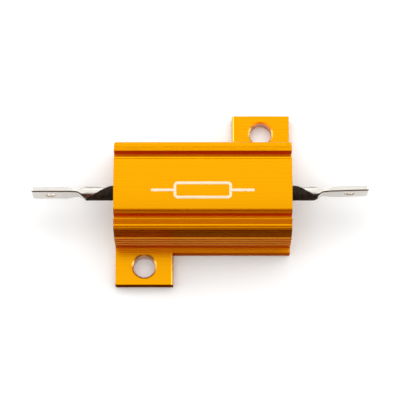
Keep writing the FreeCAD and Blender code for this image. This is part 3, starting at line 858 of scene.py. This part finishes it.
class RESISTOR_OT_terminals(Operator):
    """Builds both tinned terminals"""
    bl_idname = "resistor.terminals"
    bl_label = "Build terminals"

    def execute(self, context):
        sizes = context.scene.resistor_terminals
        make_terminal("terminal_left", sizes, -1, sizes.left_lean, 0.0, sizes.left_twist,
                      sizes.left_dip)
        make_terminal("terminal_right", sizes, 1, sizes.right_lean, sizes.right_yaw,
                      sizes.right_twist, sizes.right_dip)
        return {"FINISHED"}


class RESISTOR_OT_filling(Operator):
    """Builds the compound that fills the bore"""
    bl_idname = "resistor.filling"
    bl_label = "Fill bore"

    def execute(self, context):
        sizes = context.scene.resistor_filling
        points, faces = filling_surface(sizes)
        new_piece("bore_filling", points, faces, moulding_compound(sizes),
                  ("moulding_compound", ))
        return {"FINISHED"}


class RESISTOR_OT_element(Operator):
    """Finishes the core, its caps and the winding"""
    bl_idname = "resistor.element"
    bl_label = "Finish element"

    def execute(self, context):
        finish = context.scene.resistor_element
        dress(steatite(finish), "ceramic_core")
        dress(resistance_alloy(finish), "resistance_winding")
        dress(cap_steel(finish), "end_cap_left", "end_cap_right")
        return {"FINISHED"}


class RESISTOR_OT_ink(Operator):
    """Prints a plain resistor symbol on the crown"""
    bl_idname = "resistor.ink"
    bl_label = "Print symbol"

    def execute(self, context):
        sizes = context.scene.resistor_ink
        frame_path, leads = symbol_lines(sizes)
        points, faces, count = [], [], 0
        for path, closed in ((frame_path, True), (leads[0], False), (leads[1], False)):
            path = path + np.array([0.0, sizes.centre_y])
            spots, quads = inked_line(path, closed, sizes)
            points.append(spots)
            faces += [[corner + count for corner in quad] for quad in quads]
            count += len(spots)
        new_piece("printed_symbol", np.concatenate(points), faces, white_ink(sizes))
        return {"FINISHED"}


class RESISTOR_OT_stage(Operator):
    """Sets up floor, light and camera"""
    bl_idname = "resistor.stage"
    bl_label = "Set stage"

    def execute(self, context):
        sizes = context.scene.resistor_stage
        lay_floor(sizes)
        light_room(context.scene, sizes)
        aim_camera(context.scene, sizes)
        context.scene.view_settings.view_transform = "Standard"
        return {"FINISHED"}


def paper_colour(material, sizes):
    """Colour of the paper for each kind of ray.

    The camera sees it lifted to white. Metal sees it nearly white, white far behind the object and
    dim just in front of it, a painted shadow, which is browner along the housing as a painted warm
    bounce from the gold. Its own colour counts for the light that it throws back.
    """
    path = add_node(material, "ShaderNodeLightPath", {}).outputs
    parts = parts_of(material, coordinates(material, "Object"))
    edge, end, half = sizes.front_edge, sizes.front_end, sizes.tinted_half
    bright = calculate(
        material, "MAXIMUM",
        spread(material, parts["Y"], source=(edge, edge + sizes.floor_blend)),
        spread(material, parts["Y"], 1.0, 0.0, (2 * end, end)))
    lightness = spread(material, parts["Y"], sizes.floor_mirrored, sizes.floor_behind,
                       (sizes.far_start, sizes.far_end))
    beside = spread(material, calculate(material, "ABSOLUTE", parts["X"]),
                    source=(half, half + sizes.floor_blend))
    # Painted shadow in front, browner along the housing as painted warm bounce
    front = blend_colours(material, beside, sizes.floor_painted_bounce, sizes.floor_painted_shadow)
    mirrored = blend_colours(material, bright, front, lightness)
    bounced = calculate(material, "MAXIMUM", path["Is Glossy Ray"], path["Is Transmission Ray"])
    plain = blend_colours(material, path["Is Camera Ray"], sizes.floor, [sizes.floor_seen] * 3)
    return blend_colours(material, bounced, plain, mirrored)


def lay_floor(sizes):
    """White paper at the heatsink face. Its colour alone lifts it, so the shadow stays on it."""
    half = sizes.floor_size / 2
    corners = [(-half, -half, 0), (half, -half, 0), (half, half, 0), (-half, half, 0)]
    floor = mesh_object("floor", corners, [(0, 1, 2, 3)])
    material = emptied(bpy.data.materials.new("white_paper"))
    matt = add_node(material, "ShaderNodeBsdfDiffuse", {"Color": paper_colour(material, sizes)})
    add_node(material, "ShaderNodeOutputMaterial", {"Surface": matt.outputs[0]})
    floor.data.materials.append(material)


def light_room(scene, sizes):
    """Soft white room whose light depends on a ray's heading.

    In metal it is bright above, brighter in a strip behind and beyond both ends, and dim low down
    behind and on the camera's side, where it is warm. Light on matt surfaces comes from overhead
    with a lean away from the camera, and the camera itself sees plain white.
    """
    world = emptied(bpy.data.worlds.new("soft_room"))
    heading = coordinates(world, "Generated")
    parts = parts_of(world, heading)
    sideways = calculate(world, "ABSOLUTE", parts["X"])
    level = soft_step(world, parts["Z"], RISING, sizes.low, sizes.above)
    level = blend_values(world, soft_step(world, parts["Y"], STRIP_BEHIND), level, sizes.strip)
    level = blend_values(world, soft_step(world, parts["Y"], DIM_BEHIND), level, sizes.back)
    level = blend_values(world, soft_step(world, sideways, BEYOND_ENDS), level, sizes.ends)
    front = blend_colours(world, soft_step(world, parts["Z"], FRONT_RISING), sizes.front_low,
                          sizes.front)
    front = blend_colours(world, soft_step(world, sideways, FRONT_ASIDE), front,
                          sizes.front_aside)
    in_metal = blend_colours(world, soft_step(world, parts["Y"], IN_FRONT), level, front)
    lean = (0.0, math.sin(sizes.key_lean), math.cos(sizes.key_lean))
    overhead = calculate_vector(world, "DOT_PRODUCT", heading, lean)[1]
    on_matt = soft_step(world, overhead, NEAR_KEY, sizes.shaded, sizes.key)
    path = add_node(world, "ShaderNodeLightPath", {}).outputs
    from_matt = calculate(world, "MINIMUM", path["Diffuse Depth"], 1.0)
    light = blend_colours(world, from_matt, in_metal, on_matt)
    seen = blend_colours(world, path["Is Camera Ray"], light, (1.0, 1.0, 1.0))
    background = add_node(world, "ShaderNodeBackground", {"Color": seen})
    add_node(world, "ShaderNodeOutputWorld", {"Surface": background.outputs[0]})
    scene.world = world


def aim_camera(scene, sizes):
    """Camera at the photograph's angle, above the object and a little on its -Y side."""
    up = Vector((0.0, math.cos(sizes.tilt), math.sin(sizes.tilt)))
    back = Vector((0.0, -math.sin(sizes.tilt), math.cos(sizes.tilt)))
    right = Vector((1.0, 0.0, 0.0))
    aim = Vector((0.0, 0.0, sizes.aim_height)) + sizes.aim_right * right + sizes.aim_up * up
    data = bpy.data.cameras.new("camera")
    data.sensor_width = FILM_WIDTH
    data.lens = sizes.focal_pixels / PICTURE_WIDTH * FILM_WIDTH
    data.clip_start, data.clip_end = CLIP
    camera = bpy.data.objects.new("camera", data)
    turn = Matrix((right, up, back)).transposed().to_4x4()
    camera.matrix_world = Matrix.Translation(aim + sizes.distance * back) @ turn
    bpy.context.collection.objects.link(camera)
    scene.camera = camera


STEPS = (RESISTOR_OT_housing, RESISTOR_OT_terminals, RESISTOR_OT_filling, RESISTOR_OT_element,
         RESISTOR_OT_ink, RESISTOR_OT_stage)
GROUPS = {
    "resistor_housing": HousingFinish,
    "resistor_terminals": TerminalSizes,
    "resistor_filling": FillingSizes,
    "resistor_element": ElementFinish,
    "resistor_ink": InkSizes,
    "resistor_stage": StageSizes,
}


class RESISTOR_PT_parts(Panel):
    """Steps of the resistor and the sizes they use"""
    bl_idname = "RESISTOR_PT_parts"
    bl_label = "Power resistor"
    bl_space_type = "VIEW_3D"
    bl_region_type = "UI"
    bl_category = "Resistor"

    def draw(self, context):
        for step in STEPS:
            self.layout.operator(step.bl_idname)
        for name, group in GROUPS.items():
            box = self.layout.box()
            for setting in group.__annotations__:
                box.prop(getattr(context.scene, name), setting)


CLASSES = (*GROUPS.values(), *STEPS, RESISTOR_PT_parts)


def register():
    for entry in CLASSES:
        bpy.utils.register_class(entry)
    for name, group in GROUPS.items():
        setattr(bpy.types.Scene, name, PointerProperty(type=group))


def unregister():
    for name in GROUPS:
        delattr(bpy.types.Scene, name)
    for entry in reversed(CLASSES):
        bpy.utils.unregister_class(entry)


def main():
    register()
    for step in STEPS:
        section, name = step.bl_idname.split(".")
        getattr(getattr(bpy.ops, section), name)()


if __name__ == "__main__":
    main()
